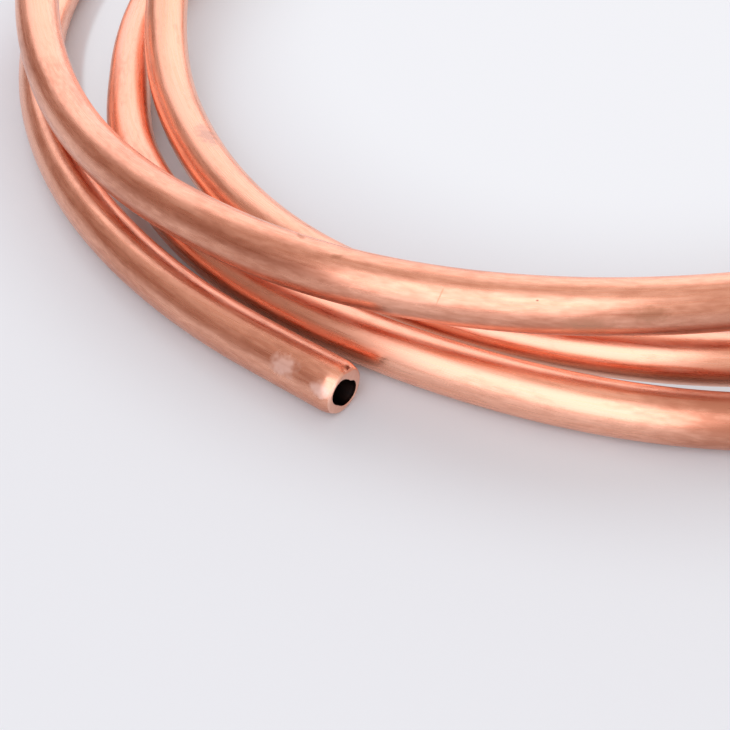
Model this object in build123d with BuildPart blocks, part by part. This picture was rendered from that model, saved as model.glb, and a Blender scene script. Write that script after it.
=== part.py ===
import os
from math import ceil, cos, radians, sin, sqrt

from build123d import *

os.makedirs("parts", exist_ok=True)

# Soft drawn copper tube
tube_od = 6.0
wall = 1.0
tube_length = 1500.0

# Both ends, parted off with a wheel cutter that rolls the rim inward
end_straight = 12.0
rim_length = 0.9
rim_roll = 0.3
burr_length = 0.6
burr_height = 0.12

# The loose coil, as it lies on a floor
coil_radius = 74.0
first_bearing = -126.0
lay_gap = 0.25
bend_step = 30.0

# How the tube lies, from its lower end: degrees gone round the coil, how many tube diameters it runs
# outside coil_radius, and how many tubes it rests on
lay = [
    (0, 2.35, 0.0),
    (40, 2.27, 0.0),
    (80, 2.4, 0.0),
    (170, 1.4, 0.0),
    (260, 1.0, 0.0),
    (320, 1.47, 0.0),
    (350, 1.18, 0.0),
    (366, 1.14, 0.0),
    (385, 0.8, 0.0),
    (402, 0.16, 0.0),
    (415, -0.1, 0.0),
    (455, -0.6, 0.0),
    (540, -0.9, 0.0),
    (625, -0.7, 0.0),
    (685, 0.15, 0.2),
    (720, 0.08, 0.23),
    (750, -0.53, 0.33),
    (785, -1.1, 1.5),
    (825, -1.5, 1.3),
    (895, -1.9, 1.2),
    (970, -1.5, 1.3),
    (1040, -0.05, 1.5),
    (1085, 1.55, 1.3),
    (1110, 1.9, 1.0),
    (1145, 2.25, 1.7),
]

bore = tube_od - 2 * wall
cut_end_length = 2.0


def lay_at(bearing, column):
    """One column of lay at any bearing, blended through the rows without overshoot."""
    slopes = [(after[column] - before[column]) / (after[0] - before[0]) for before, after in zip(lay, lay[1:])]
    row_slopes = [slopes[0]]
    for before, after in zip(slopes, slopes[1:]):
        row_slopes.append(2 * before * after / (before + after) if before * after > 0 else 0.0)
    row_slopes.append(0.0)
    if bearing >= lay[-1][0]:
        return lay[-1][column]
    row = max(index for index, entry in enumerate(lay) if entry[0] <= max(bearing, 0))
    span = lay[row + 1][0] - lay[row][0]
    share = (bearing - lay[row][0]) / span
    eased = share * share * (3 - 2 * share)
    value = lay[row][column] * (1 - eased) + lay[row + 1][column] * eased
    value += row_slopes[row] * span * share * (1 - share) ** 2
    return value - row_slopes[row + 1] * span * share * share * (1 - share)


def centre_line_point(bearing):
    """Point on the tube's centre line."""
    radius = coil_radius + tube_od * lay_at(bearing, 1)
    height = tube_od / 2 + (tube_od + lay_gap) * lay_at(bearing, 2)
    angle = radians(first_bearing - bearing)
    return Vector(radius * cos(angle), radius * sin(angle), height)


def heading(bearing):
    """Direction in which the tube runs on from a point of its centre line."""
    ahead = centre_line_point(bearing + 0.5)
    behind = centre_line_point(bearing - 0.5)
    return (ahead - behind).normalized()


def arc_pair_joint(start, start_heading, end, end_heading):
    """Point where two arcs meet that lead smoothly from one point and heading to another."""
    chord = end - start
    headings = start_heading + end_heading
    spread = 2 * (1 - start_heading.dot(end_heading))
    along = chord.dot(headings)
    reach = (sqrt(along * along + spread * chord.dot(chord)) - along) / spread
    return (start + end + (start_heading - end_heading) * reach) / 2


# The tube is used up along its lay, between the two straight ends
bent_length = tube_length - 2 * end_straight
last_bearing = 0.0
laid_length = 0.0
while laid_length < bent_length:
    step_length = (centre_line_point(last_bearing + 1) - centre_line_point(last_bearing)).length
    laid_length += step_length
    last_bearing += 1
last_bearing -= (laid_length - bent_length) / step_length

bend_count = ceil(last_bearing / bend_step)
bearings = [last_bearing * index / bend_count for index in range(bend_count + 1)]
lower_heading = heading(0.0)
upper_heading = heading(last_bearing)
lower_cut = centre_line_point(0.0) - lower_heading * (end_straight - cut_end_length)
upper_cut = centre_line_point(last_bearing) + upper_heading * (end_straight - cut_end_length)

with BuildLine() as centre_line:
    Line(lower_cut, centre_line_point(0.0))
    for bearing, next_bearing in zip(bearings, bearings[1:]):
        start = centre_line_point(bearing)
        end = centre_line_point(next_bearing)
        joint = arc_pair_joint(start, heading(bearing), end, heading(next_bearing))
        TangentArc(start, joint, tangent=heading(bearing))
        TangentArc(end, joint, tangent=-heading(next_bearing))
    Line(centre_line_point(last_bearing), upper_cut)

# Section of a cut end: the rim rolls in outside, and a slight burr stands in the bore
with BuildSketch(Plane.XZ) as cut_end_section:
    with BuildLine():
        outside = Line((tube_od / 2, 0), (tube_od / 2, cut_end_length - rim_length))
        rim = TangentArc(outside @ 1, (tube_od / 2 - rim_roll, cut_end_length), tangent=(0, 1))
        inside = Line((bore / 2, 0), (bore / 2, cut_end_length - burr_length))
        burr = TangentArc(inside @ 1, (bore / 2 - burr_height, cut_end_length), tangent=(0, 1))
        Line(rim @ 1, burr @ 1)
        Line(outside @ 0, inside @ 0)
    make_face()

with BuildPart() as cut_end:
    revolve(cut_end_section.sketch, axis=Axis.Z)

with BuildPart() as copper_tube:
    with BuildSketch(Plane(origin=lower_cut, z_dir=lower_heading)):
        Circle(tube_od / 2)
        Circle(bore / 2, mode=Mode.SUBTRACT)
    sweep(path=centre_line.wire())
    with Locations(Plane(origin=lower_cut, z_dir=-lower_heading), Plane(origin=upper_cut, z_dir=upper_heading)):
        add(cut_end.part)

# The coil lies centred over the origin
footprint_centre = copper_tube.part.bounding_box().center()
copper_tube.part.position -= (footprint_centre.X, footprint_centre.Y, 0)
copper_tube.part.label = "copper_tube"
export_step(copper_tube.part, "parts/copper_tube.step")
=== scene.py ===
from bisect import bisect_right
from math import atan, atan2, cos, hypot, pi, radians, sin

import bmesh
import bpy
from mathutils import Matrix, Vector, noise


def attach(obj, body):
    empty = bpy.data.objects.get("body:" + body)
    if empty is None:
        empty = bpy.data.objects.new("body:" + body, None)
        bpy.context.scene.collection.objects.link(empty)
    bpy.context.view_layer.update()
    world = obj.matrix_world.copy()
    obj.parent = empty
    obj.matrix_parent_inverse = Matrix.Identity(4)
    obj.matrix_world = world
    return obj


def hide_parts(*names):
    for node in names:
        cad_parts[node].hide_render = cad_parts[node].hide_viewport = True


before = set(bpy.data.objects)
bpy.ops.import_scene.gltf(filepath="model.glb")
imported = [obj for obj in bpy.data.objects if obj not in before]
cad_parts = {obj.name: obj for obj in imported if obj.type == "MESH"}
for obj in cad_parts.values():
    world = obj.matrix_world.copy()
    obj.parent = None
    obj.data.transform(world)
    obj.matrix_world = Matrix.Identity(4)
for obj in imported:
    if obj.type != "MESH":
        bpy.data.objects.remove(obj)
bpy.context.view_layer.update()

# The tube: one length of soft copper, drawn through a die to 6 mm outside and 4 mm inside, so fine lines
# run along it. A wheel cutter parted it off at both ends, which rolled the rim in and left a burr in the
# mouth. It was unwound from a bigger coil, pulled into loose open turns and laid on a floor.
tube_radius = 0.003
bore_radius = 0.002
tube_length = 1.5
rim_length = 0.0016
rim_roll = 0.0004
burr_length = 0.0006
burr_height = 0.00012
edge_round = 0.00008

sides_round = 40
roll_steps = 6
edge_steps = 3
outside_step = 0.0015
bore_step = 0.006
same_place = 0.000001
sharp_turn = radians(38)
mid_wall = (tube_radius + bore_radius) / 2


def rolled_edge(radius, roll, length):
    """Radius and distance along, as a wall's edge rolls in towards a cut face."""
    turn = 2 * atan(roll / length)
    bend = length / sin(turn)
    return [(radius - bend * (1 - cos(turn * step / roll_steps)), bend * sin(turn * step / roll_steps))
            for step in range(roll_steps + 1)]


wall_section = [(radius, tube_length - rim_length + along)
                for radius, along in rolled_edge(tube_radius, rim_roll, rim_length)]
wall_section += [(radius, tube_length - burr_length + along)
                 for radius, along in reversed(rolled_edge(bore_radius, burr_height, burr_length))]
wall_section += [(radius, tube_length - along) for radius, along in reversed(wall_section)]

tube = bmesh.new()
section_corners = [tube.verts.new((radius, 0, along)) for radius, along in wall_section]
for corner, next_corner in zip(section_corners, section_corners[1:] + section_corners[:1]):
    tube.edges.new((corner, next_corner))
bmesh.ops.spin(tube, geom=tube.verts[:] + tube.edges[:], cent=(0, 0, 0), axis=(0, 0, 1), angle=2 * pi,
               steps=sides_round, use_merge=True)
bmesh.ops.remove_doubles(tube, verts=tube.verts[:], dist=same_place)
bmesh.ops.recalc_face_normals(tube, faces=tube.faces[:])


def is_sharp(edge):
    """Whether two faces meet at an edge in a clear corner."""
    return len(edge.link_faces) == 2 and edge.calc_face_angle() > sharp_turn


def long_edges(outside):
    """Edges that run the whole length of the tube, on its outside or in its bore."""
    return [edge for edge in tube.edges if edge.calc_length() > tube_length / 2
            and (hypot(*edge.verts[0].co.xy) > mid_wall) == outside]


cut_edges = [edge for edge in tube.edges if is_sharp(edge) and edge.calc_length() < tube_radius]
bmesh.ops.bevel(tube, geom=cut_edges, offset=edge_round, offset_type="OFFSET", segments=edge_steps, profile=0.5,
                affect="EDGES", material=-1)
bmesh.ops.subdivide_edges(tube, edges=long_edges(outside=True), cuts=round(tube_length / outside_step) - 1)
bmesh.ops.subdivide_edges(tube, edges=long_edges(outside=False), cuts=round(tube_length / bore_step) - 1)

# How the tube lies, from its lower end: degrees gone round the coil, tube diameters outside the coil's
# radius, and how many tubes it rests on
coil_radius = 0.074
first_bearing = -126.0
lay_gap = 0.00025
end_straight = 0.012
lay = [
    (0, 2.35, 0.0),
    (40, 2.27, 0.0),
    (80, 2.4, 0.0),
    (170, 1.4, 0.0),
    (260, 1.0, 0.0),
    (320, 1.47, 0.0),
    (350, 1.18, 0.0),
    (366, 1.14, 0.0),
    (385, 0.8, 0.0),
    (402, 0.16, 0.0),
    (415, -0.1, 0.0),
    (455, -0.6, 0.0),
    (540, -0.9, 0.0),
    (625, -0.7, 0.0),
    (685, 0.15, 0.2),
    (720, 0.08, 0.23),
    (750, -0.53, 0.33),
    (785, -1.1, 1.5),
    (825, -1.5, 1.3),
    (895, -1.9, 1.2),
    (970, -1.5, 1.3),
    (1040, -0.05, 1.5),
    (1085, 1.55, 1.3),
    (1110, 1.9, 1.0),
    (1145, 2.25, 1.7),
]


def lay_at(bearing, column):
    """One column of lay at any bearing, blended through the rows without overshoot."""
    slopes = [(after[column] - before[column]) / (after[0] - before[0]) for before, after in zip(lay, lay[1:])]
    row_slopes = [slopes[0]]
    for before, after in zip(slopes, slopes[1:]):
        row_slopes.append(2 * before * after / (before + after) if before * after > 0 else 0.0)
    row_slopes.append(0.0)
    if bearing >= lay[-1][0]:
        return lay[-1][column]
    row = max(index for index, entry in enumerate(lay) if entry[0] <= max(bearing, 0))
    span = lay[row + 1][0] - lay[row][0]
    share = (bearing - lay[row][0]) / span
    eased = share * share * (3 - 2 * share)
    value = lay[row][column] * (1 - eased) + lay[row + 1][column] * eased
    value += row_slopes[row] * span * share * (1 - share) ** 2
    return value - row_slopes[row + 1] * span * share * share * (1 - share)


def centre_line_point(bearing):
    """Point on the laid tube's centre line."""
    radius = coil_radius + 2 * tube_radius * lay_at(bearing, 1)
    height = tube_radius + (2 * tube_radius + lay_gap) * lay_at(bearing, 2)
    angle = radians(first_bearing - bearing)
    return Vector((radius * cos(angle), radius * sin(angle), height))


def heading(bearing):
    """Direction in which the tube runs on from a point of its centre line."""
    return (centre_line_point(bearing + 0.5) - centre_line_point(bearing - 0.5)).normalized()


bent_length = tube_length - 2 * end_straight
laid_lengths = [0.0]
while laid_lengths[-1] < bent_length:
    step = centre_line_point(len(laid_lengths)) - centre_line_point(len(laid_lengths) - 1)
    laid_lengths.append(laid_lengths[-1] + step.length)


def bearing_at(laid):
    """How far round the coil the tube has gone after some length of its bends."""
    degree = min(bisect_right(laid_lengths, laid), len(laid_lengths) - 1) - 1
    return degree + (laid - laid_lengths[degree]) / (laid_lengths[degree + 1] - laid_lengths[degree])


def section_place(along):
    """Centre and the two cross directions of the laid tube, some way along it."""
    laid = along - end_straight
    bearing = bearing_at(min(max(laid, 0.0), bent_length))
    ahead = heading(bearing)
    centre = centre_line_point(bearing) + ahead * (min(laid, 0.0) + max(laid - bent_length, 0.0))
    across = Vector((0, 0, 1)).cross(ahead).normalized()
    return centre, across, ahead.cross(across)


# Before it is laid, each point keeps its place on the straight tube, which the finishes follow
straight_place = tube.verts.layers.float_vector.new("straight_place")
for vert in tube.verts:
    vert[straight_place] = vert.co

# Winding and handling left the soft tube slightly flat in places. The cutter pushed each mouth out of round,
# with one flat side and a torn edge, and nicked the lower end's rim.
undersize = 0.997
flat_depth = 0.012
flat_fineness = 380
flat_fineness_along = 45
flat_fade = 0.006
mouth_depth = 0.0012
mouth_stretch = 0.23
mouth_long_way = 0.25 * pi
mouth_shift = 0.11
mouth_flat_side = 0.75 * pi
mouth_unevenness = 0.035
mouth_fineness = 1500
lower_tear = 0.4
upper_tear = 3.7
nick_place = Vector((-0.00075, 0.00255, 0.00025))
nick_reach = 0.0008
nick_depth = 0.0003
rim_radius = tube_radius - rim_roll
for vert in tube.verts:
    x, y, along = vert.co
    out = hypot(x, y)
    angle = atan2(y, x)
    from_end = min(along, tube_length - along)
    flat = noise.noise(Vector((x * flat_fineness, y * flat_fineness, along * flat_fineness_along))) * 0.5 + 0.5
    shrink = undersize - flat_depth * flat * min(from_end, flat_fade) / flat_fade
    tear = lower_tear if along < tube_length / 2 else upper_tear
    squeeze = mouth_stretch * cos(2 * (angle - mouth_long_way)) - mouth_shift * cos(angle - mouth_flat_side)
    squeeze += mouth_unevenness * noise.noise(Vector((x * mouth_fineness, y * mouth_fineness, tear)))
    squeeze *= max(1 - from_end / mouth_depth, 0.0)
    squeeze *= min(max((rim_radius - out) / (rim_radius - bore_radius), 0.0), 1.0)
    nick = nick_depth * max(1 - (vert.co - nick_place).length / nick_reach, 0.0)
    vert.co.xy *= shrink * (1 + squeeze) - nick / out

places = {}
for vert in tube.verts:
    x, y, along = vert.co
    if along not in places:
        places[along] = section_place(along)
    centre, across, up = places[along]
    vert.co = centre + across * x + up * y

low = Vector([min(vert.co[axis] for vert in tube.verts) for axis in range(3)])
high = Vector([max(vert.co[axis] for vert in tube.verts) for axis in range(3)])
bmesh.ops.translate(tube, verts=tube.verts[:], vec=(-(low.x + high.x) / 2, -(low.y + high.y) / 2, 0))

# Which finish each face has: drawn outside, cut end or bore
cut_finish = 1
bore_finish = 2
cut_reach = 0.12 * rim_length
bore_start = 0.06 * burr_length
bore_limit = 1.01 * bore_radius
draw_direction = tube.loops.layers.uv.new("draw_direction")
for face in tube.faces:
    face.smooth = True
    spots = [loop.vert[straight_place] for loop in face.loops]
    middle = sum(spots, Vector()) / len(spots)
    middle_angle = atan2(middle.y, middle.x)
    from_end = min(middle.z, tube_length - middle.z)
    if hypot(middle.x, middle.y) < bore_limit and from_end > bore_start:
        face.material_index = bore_finish
    elif from_end < cut_reach:
        face.material_index = cut_finish
    for loop, spot in zip(face.loops, spots):
        turn = (atan2(spot.y, spot.x) - middle_angle + pi) % (2 * pi) - pi + middle_angle
        loop[draw_direction].uv = (turn / (2 * pi), spot.z / (2 * pi * tube_radius))
for edge in tube.edges:
    edge.smooth = not is_sharp(edge)


def finished_piece(name, shape):
    """An object at the origin, made of a shape that already stands in its place."""
    mesh = bpy.data.meshes.new(name)
    shape.to_mesh(mesh)
    shape.free()
    piece = bpy.data.objects.new(name, mesh)
    bpy.context.collection.objects.link(piece)
    return piece


drawn_tube = finished_piece("drawn_copper_tube", tube)


def new_finish(name):
    """An empty material with its node tree and its Principled shader."""
    finish = bpy.data.materials.new(name)
    finish.use_nodes = True
    return finish, finish.node_tree, finish.node_tree.nodes["Principled BSDF"]


def new_effect(name, inputs, output):
    """An empty node group with what it is given and its one result."""
    effect = bpy.data.node_groups.new(name, "ShaderNodeTree")
    for label, kind in inputs.items():
        effect.interface.new_socket(label, in_out="INPUT", socket_type="NodeSocket" + kind)
    effect.interface.new_socket(output, in_out="OUTPUT", socket_type="NodeSocketFloat")
    given = effect.nodes.new("NodeGroupInput").outputs
    return effect, given, effect.nodes.new("NodeGroupOutput").inputs[output]


def feed(tree, value, socket):
    """Gives a socket another node's output, or a plain value."""
    if isinstance(value, bpy.types.NodeSocket):
        tree.links.new(value, socket)
    else:
        socket.default_value = value


def maths(tree, operation, *values, clamp=False):
    """A number worked out from one to three others."""
    node = tree.nodes.new("ShaderNodeMath")
    node.operation = operation
    node.use_clamp = clamp
    for value, socket in zip(values, node.inputs):
        feed(tree, value, socket)
    return node.outputs["Value"]


def measured(tree, operation, *vectors):
    """A number worked out from one or two vectors."""
    node = tree.nodes.new("ShaderNodeVectorMath")
    node.operation = operation
    for vector, socket in zip(vectors, node.inputs):
        feed(tree, vector, socket)
    return node.outputs["Value"]


def graded(tree, value, start, end, low, high, smooth=False, clamp=True):
    """A number that goes from low to high while another goes from start to end."""
    grade = tree.nodes.new("ShaderNodeMapRange")
    grade.interpolation_type = "SMOOTHSTEP" if smooth else "LINEAR"
    grade.clamp = clamp
    limits = {"Value": value, "From Min": start, "From Max": end, "To Min": low, "To Max": high}
    for label, number in limits.items():
        feed(tree, number, grade.inputs[label])
    return grade.outputs["Result"]


def speckled(tree, place, fineness, detail):
    """A soft random pattern, finer where its fineness is higher."""
    pattern = tree.nodes.new("ShaderNodeTexNoise")
    feed(tree, place, pattern.inputs["Vector"])
    feed(tree, fineness, pattern.inputs["Scale"])
    feed(tree, detail, pattern.inputs["Detail"])
    return pattern.outputs["Fac"]


def drawn_out(tree, place, share):
    """A place that counts less along the tube, so a pattern on it is drawn out that way."""
    squeeze = tree.nodes.new("ShaderNodeMapping")
    feed(tree, place, squeeze.inputs["Vector"])
    feed(tree, (1, 1, share), squeeze.inputs["Scale"])
    return squeeze.outputs["Vector"]


def tinted(tree, share, colour, other):
    """A colour that goes from one to another by a share."""
    mix = tree.nodes.new("ShaderNodeMix")
    mix.data_type = "RGBA"
    for value, label in ((share, "Factor"), (colour, "A"), (other, "B")):
        feed(tree, value, mix.inputs[label])
    return mix.outputs["Result"]


def raised(tree, height, strength, depth):
    """The normal of a surface that a pattern raises."""
    bump = tree.nodes.new("ShaderNodeBump")
    for value, label in ((height, "Height"), (strength, "Strength"), (depth, "Distance")):
        feed(tree, value, bump.inputs[label])
    return bump.outputs["Normal"]


def with_effect(tree, effect, values):
    """The result of an effect that is placed in a material with its own values."""
    node = tree.nodes.new("ShaderNodeGroup")
    node.node_tree = effect
    for label, value in values.items():
        feed(tree, value, node.inputs[label])
    return node.outputs[0]


def place_on_tube(tree):
    """Where each point was on the straight tube."""
    place = tree.nodes.new("ShaderNodeAttribute")
    place.attribute_name = "straight_place"
    return place.outputs["Vector"]


# Fine lines that the die left along the wall
line_share_along = 0.07
die_lines, given, result = new_effect("die_lines", {"Place": "Vector", "Fineness": "Float"}, "Lines")
line_place = drawn_out(die_lines, given["Place"], line_share_along)
fine_lines = speckled(die_lines, line_place, given["Fineness"], 2)
feed(die_lines, graded(die_lines, fine_lines, 0.3, 0.7, 0, 1), result)

# Brown tarnish in soft, mottled patches that are drawn out along the tube
patch_share_along = 0.3
patch_fineness = 260
mottle_fineness = 2000
mottle_strength = 0.8
patch_strength = 0.6
tarnish, given, result = new_effect("tarnish", {"Place": "Vector", "Amount": "Float"}, "Tarnish")
patch_place = drawn_out(tarnish, given["Place"], patch_share_along)
patches = speckled(tarnish, patch_place, patch_fineness, 2)
mottle = speckled(tarnish, patch_place, mottle_fineness, 2)
mottled = maths(tarnish, "MULTIPLY_ADD", mottle, mottle_strength, patches)
patchiness = graded(tarnish, mottled, 0.7, 1.1, -0.5, 0.5, clamp=False)
feed(tarnish, maths(tarnish, "MULTIPLY_ADD", patchiness, patch_strength, given["Amount"], clamp=True), result)

# One small mark with a ragged edge, on the wall as it is unrolled: how far round, then how far along
edge_fineness = 1500
edge_raggedness = 1.6
mark, given, result = new_effect(
    "mark", {"Unrolled": "Vector", "Middle": "Vector", "Turn": "Vector", "Reach": "Vector"}, "Mark")
mark_place = mark.nodes.new("ShaderNodeMapping")
mark_place.vector_type = "TEXTURE"
for label, socket in (("Unrolled", "Vector"), ("Middle", "Location"), ("Turn", "Rotation"), ("Reach", "Scale")):
    feed(mark, given[label], mark_place.inputs[socket])
from_mark = measured(mark, "LENGTH", mark_place.outputs["Vector"])
edge_pattern = speckled(mark, given["Unrolled"], edge_fineness, 3)
ragged = maths(mark, "MULTIPLY_ADD", edge_pattern, edge_raggedness, from_mark)
feed(mark, graded(mark, ragged, 1.15, 2.2, 1, 0, smooth=True), result)

drawn_copper, tree, shader = new_finish("drawn_copper")
place = place_on_tube(tree)
parts_of_place = tree.nodes.new("ShaderNodeSeparateXYZ")
feed(tree, place, parts_of_place.inputs["Vector"])
along_tube = parts_of_place.outputs["Z"]

# The first and last stretches were handled most, but not the very end, and carry more tarnish. The tarnish
# colour is heavier on the lower outer side of the turns, partly as painted shade on that side. A short stretch
# near the end of the first turn is darker all round: tarnish, and painted shade for a dimmer shine there.
outer_way = (0.85, -0.5, 0)
shaded_stretch_middle = 0.467
line_fineness = 2600
handled_start = graded(tree, along_tube, 0.03, 0.09, 0.55, -0.1)
handled_end = graded(tree, along_tube, 1.15, 1.3, 0, 0.85)
cleaner_end = graded(tree, along_tube, 1.41, 1.48, 0, -0.4)
handled = maths(tree, "ADD", maths(tree, "ADD", handled_start, handled_end), cleaner_end)
# Painted shade: the lower outer side, and the short stretch all round, get more of the tarnish colour
shaded_outer_side = graded(tree, measured(tree, "DOT_PRODUCT", place, outer_way), 0, 0.0028, 0.3, 1)
from_shaded_stretch = maths(tree, "ABSOLUTE", maths(tree, "SUBTRACT", along_tube, shaded_stretch_middle))
dull_and_shaded_stretch = graded(tree, from_shaded_stretch, 0.026, 0.037, 1, 0)
tarnish_and_shade_amount = maths(tree, "MULTIPLY_ADD", handled, shaded_outer_side, dull_and_shaded_stretch)
wall_tarnish_and_shade = with_effect(tree, tarnish, {"Place": place, "Amount": tarnish_and_shade_amount})
wall_lines = with_effect(tree, die_lines, {"Place": place, "Fineness": line_fineness})

line_hollow = (0.90, 0.45, 0.31, 1)
line_crest = (0.97, 0.535, 0.385, 1)
tarnish_and_shade_copper = (0.61, 0.26, 0.168, 1)
marked = tinted(tree, wall_tarnish_and_shade, tinted(tree, wall_lines, line_hollow, line_crest), tarnish_and_shade_copper)

# What happened to it since: rubbed bright, scratched, pitted, blotched brown and smudged grey, with one dark
# mark of painted shade in the nick at the lower end's rim. Each mark has its colour, millimetres along, degrees
# round from the outer side, half its length, half its width, its turn.
worn_bright = (1.0, 0.69, 0.59, 1)
dark_pit_and_nick_shade = (0.30, 0.12, 0.08, 1)
brown_blotch = (0.60, 0.28, 0.18, 1)
grey_smudge = (0.60, 0.36, 0.28, 1)
marks = [
    (worn_bright, 6.4, 40, 1.6, 1.1, 10),
    (worn_bright, 1.4, 30, 1.1, 0.8, 0),
    # Painted shade: this dark mark sits in the nick at the lower end's rim, as the shade in it
    (dark_pit_and_nick_shade, 0.3, 112, 0.4, 0.35, 0),
    (brown_blotch, 1401.6, 40, 0.08, 1.1, -16),
    (dark_pit_and_nick_shade, 1392.3, 49.6, 0.16, 0.11, 0),
    (brown_blotch, 1387.5, -4, 2.3, 1.3, 0),
    (brown_blotch, 1381.5, 25, 1.8, 0.8, 0),
    (brown_blotch, 1412.9, 77, 0.6, 0.35, 20),
    (brown_blotch, 1417.8, 108, 0.7, 0.4, -30),
    (grey_smudge, 1019, 106, 2.6, 1.2, 0),
]
millimetre = 0.001
radians_round = maths(tree, "ARCTAN2", parts_of_place.outputs["Y"], parts_of_place.outputs["X"])
unrolled = tree.nodes.new("ShaderNodeCombineXYZ")
feed(tree, maths(tree, "MULTIPLY", radians_round, tube_radius), unrolled.inputs["X"])
feed(tree, along_tube, unrolled.inputs["Y"])
worn_spots = []
for colour, along, angle, half_length, half_width, turn in marks:
    spot = with_effect(tree, mark, {
        "Unrolled": unrolled.outputs["Vector"],
        "Middle": (radians(angle) * tube_radius, along * millimetre, 0),
        "Turn": (0, 0, radians(turn)),
        "Reach": (half_width * millimetre, half_length * millimetre, 1),
    })
    marked = tinted(tree, spot, marked, colour)
    if colour == worn_bright:
        worn_spots.append(spot)
feed(tree, marked, shader.inputs["Base Color"])

# The crests of the lines, the tarnish and the worn spots are all a little rougher
tarnish_roughness = 0.04
worn_roughness = 0.2
line_height = 0.00002
worn = maths(tree, "MAXIMUM", *worn_spots)
roughness = graded(tree, wall_lines, 0, 1, 0.21, 0.34)
roughness = maths(tree, "MULTIPLY_ADD", wall_tarnish_and_shade, tarnish_roughness, roughness)
roughness = maths(tree, "MULTIPLY_ADD", worn, worn_roughness, roughness)
feed(tree, roughness, shader.inputs["Roughness"])
feed(tree, raised(tree, wall_lines, 0.02, line_height), shader.inputs["Normal"])
round_the_tube = tree.nodes.new("ShaderNodeTangent")
round_the_tube.direction_type = "UV_MAP"
round_the_tube.uv_map = "draw_direction"
feed(tree, round_the_tube.outputs["Tangent"], shader.inputs["Tangent"])
feed(tree, 1, shader.inputs["Metallic"])
feed(tree, 0.6, shader.inputs["Anisotropic"])

# The cut face is fresh metal that the wheel smeared, without a shine
smear_fineness = 2500
smear_height = 0.00003
smeared_copper = (0.80, 0.44, 0.32, 1)
fresh_copper = (0.97, 0.60, 0.47, 1)
cut_copper, tree, shader = new_finish("cut_copper")
smear = speckled(tree, place_on_tube(tree), smear_fineness, 3)
feed(tree, tinted(tree, smear, smeared_copper, fresh_copper), shader.inputs["Base Color"])
feed(tree, raised(tree, smear, 0.4, smear_height), shader.inputs["Normal"])
feed(tree, 1, shader.inputs["Metallic"])
feed(tree, 0.38, shader.inputs["Roughness"])

# The bore is dull with oxide all the way through, and painted near black as the shade deep inside it
thin_oxide_and_shade = (0.05, 0.025, 0.02, 1)
thick_oxide_and_shade = (0.015, 0.012, 0.012, 1)
bore_copper, tree, shader = new_finish("bore_copper")
bore_tarnish = with_effect(tree, tarnish, {"Place": place_on_tube(tree), "Amount": 0.6})
feed(tree, tinted(tree, bore_tarnish, thin_oxide_and_shade, thick_oxide_and_shade), shader.inputs["Base Color"])
feed(tree, 1, shader.inputs["Metallic"])
feed(tree, 0.55, shader.inputs["Roughness"])

for finish in (drawn_copper, cut_copper, bore_copper):
    drawn_tube.data.materials.append(finish)
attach(drawn_tube, "root")
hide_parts("copper_tube")

# The floor: one sheet of matt white board that the coil lies on. A glow makes it whiter than the lamps alone
# make it: painted light that lifts the shade inside the coil and in the gap under its turns, and an even pale
# glow around the coil and far off.
floor_size = 6.0
board_shape = bmesh.new()
bmesh.ops.create_grid(board_shape, x_segments=1, y_segments=1, size=floor_size / 2)
floor = finished_piece("floor_board", board_shape)
white_board, tree, shader = new_finish("white_board")
feed(tree, (0.70, 0.785, 0.85, 1), shader.inputs["Base Color"])
feed(tree, 0.45, shader.inputs["Roughness"])
white = tree.nodes.new("ShaderNodeEmission")
feed(tree, (0.93, 0.94, 0.98, 1), white.inputs["Color"])

gap_middle = 0.0758
board_place = tree.nodes.new("ShaderNodeTexCoord").outputs["Object"]
from_middle = measured(tree, "LENGTH", board_place)
from_gap = maths(tree, "ABSOLUTE", maths(tree, "SUBTRACT", from_middle, gap_middle))
# Painted light: glow inside the coil and in a ring under the turns, where the turns shade the floor
painted_light_inside_coil = graded(tree, from_middle, 0.04, 0.07, 0.75, 0.03, smooth=True)
painted_light_under_turns = graded(tree, from_gap, 0.0022, 0.0034, 0.5, 0, smooth=True)
around_coil = graded(tree, from_middle, 0.088, 0.104, 0, 0.33, smooth=True)
far_away = graded(tree, from_middle, 0.15, 0.8, 0, 0.67, smooth=True)
glow_and_painted_light = maths(tree, "ADD", around_coil, far_away)
for more in (painted_light_under_turns, painted_light_inside_coil):
    glow_and_painted_light = maths(tree, "ADD", more, glow_and_painted_light)

# The added white is seen by eye and in the coil's shine, but it lights nothing
seen_by = tree.nodes.new("ShaderNodeLightPath").outputs
seen = maths(tree, "MAXIMUM", seen_by["Is Camera Ray"], seen_by["Is Glossy Ray"])
seen = maths(tree, "MAXIMUM", seen, seen_by["Is Transmission Ray"])
board_mix = tree.nodes.new("ShaderNodeMixShader")
feed(tree, maths(tree, "MULTIPLY", seen, glow_and_painted_light), board_mix.inputs["Fac"])
feed(tree, shader.outputs["BSDF"], board_mix.inputs[1])
feed(tree, white.outputs["Emission"], board_mix.inputs[2])
feed(tree, board_mix.outputs["Shader"], tree.nodes["Material Output"].inputs["Surface"])
floor.data.materials.append(white_board)

# The light: a soft box high in front of the coil, a little to its left, and a bright cloth behind it. They
# hang under an unlit ceiling that is warm and dim, paler overhead and to the right. The coil mirrors them all.
lamp_distance = 0.6


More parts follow.
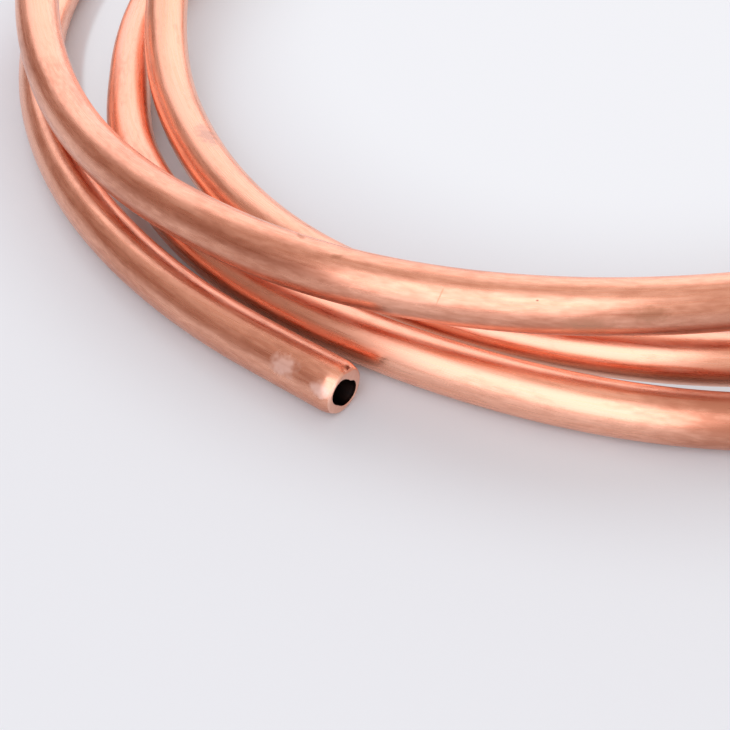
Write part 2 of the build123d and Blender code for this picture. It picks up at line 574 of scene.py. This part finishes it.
def soft_lamp(name, azimuth, elevation, width, height, colour, radiance):
    """A rectangular lamp that faces the coil, as bright as a white of that value."""
    lamp_data = bpy.data.lights.new(name, "AREA")
    lamp_data.shape = "RECTANGLE"
    lamp_data.size = width
    lamp_data.size_y = height
    lamp_data.color = colour
    lamp_data.energy = radiance * pi * width * height
    lamp = bpy.data.objects.new(name, lamp_data)
    away = Vector((cos(elevation) * cos(azimuth), cos(elevation) * sin(azimuth), sin(elevation)))
    lamp.location = away * lamp_distance
    lamp.rotation_euler = away.to_track_quat("Z", "Y").to_euler()
    lamp.visible_camera = False
    bpy.context.collection.objects.link(lamp)


soft_lamp("soft_box", radians(-109.5), radians(36), 0.52, 0.78, (0.97, 1.0, 1.09), 1.40)
soft_lamp("bright_cloth", radians(92), radians(29), 1.02, 0.70, (1.0, 1.0, 1.1), 0.8)

ceiling_radius = 3.0
pale_side = (0.33, 0, 0.27)
ceiling_shape = bmesh.new()
bmesh.ops.create_uvsphere(ceiling_shape, u_segments=48, v_segments=24, radius=ceiling_radius)
whole_ball = ceiling_shape.verts[:] + ceiling_shape.edges[:] + ceiling_shape.faces[:]
bmesh.ops.bisect_plane(ceiling_shape, geom=whole_ball, plane_co=(0, 0, 0), plane_no=(0, 0, 1), clear_inner=True)
ceiling = finished_piece("unlit_ceiling", ceiling_shape)
ceiling.visible_camera = False
unlit_cloth, tree, shader = new_finish("unlit_cloth")
ceiling_place = tree.nodes.new("ShaderNodeTexCoord").outputs["Object"]
cloth_colour = tree.nodes.new("ShaderNodeValToRGB")
cloth_colour.color_ramp.interpolation = "EASE"
cloth_colour.color_ramp.elements[0].color = (0.38, 0.24, 0.20, 1)
cloth_colour.color_ramp.elements[1].color = (0.82, 0.69, 0.63, 1)
cloth_colour.color_ramp.elements.new(0.5).color = (0.64, 0.50, 0.45, 1)
paleness = graded(tree, measured(tree, "DOT_PRODUCT", ceiling_place, pale_side), -0.55, 0.8, 0, 1)
feed(tree, paleness, cloth_colour.inputs["Fac"])
feed(tree, cloth_colour.outputs["Color"], shader.inputs["Emission Color"])
feed(tree, 1, shader.inputs["Emission Strength"])
feed(tree, (0, 0, 0, 1), shader.inputs["Base Color"])
feed(tree, 0, shader.inputs["Specular IOR Level"])
unlit_cloth.cycles.emission_sampling = "NONE"
ceiling.data.materials.append(unlit_cloth)

# White walls stand all round, beyond the floor's edge
white_room = bpy.data.worlds.new("white_room")
white_room.use_nodes = True
room_light = white_room.node_tree.nodes["Background"]
room_light.inputs["Color"].default_value = (0.9, 0.9, 0.92, 1)
room_light.inputs["Strength"].default_value = 1
bpy.context.scene.world = white_room

# The camera: low over the front of the coil and close to the cut end, looking down at about 45 degrees
camera_data = bpy.data.cameras.new("camera")
camera_data.sensor_width = 36
camera_data.lens = 57.45
camera_data.clip_start = 0.005
camera = bpy.data.objects.new("camera", camera_data)
camera.location = (-0.03629, -0.16292, 0.09108)
camera.rotation_euler = (radians(44.85), 0, 0)
bpy.context.collection.objects.link(camera)
bpy.context.scene.camera = camera
bpy.context.scene.view_settings.view_transform = "Standard"
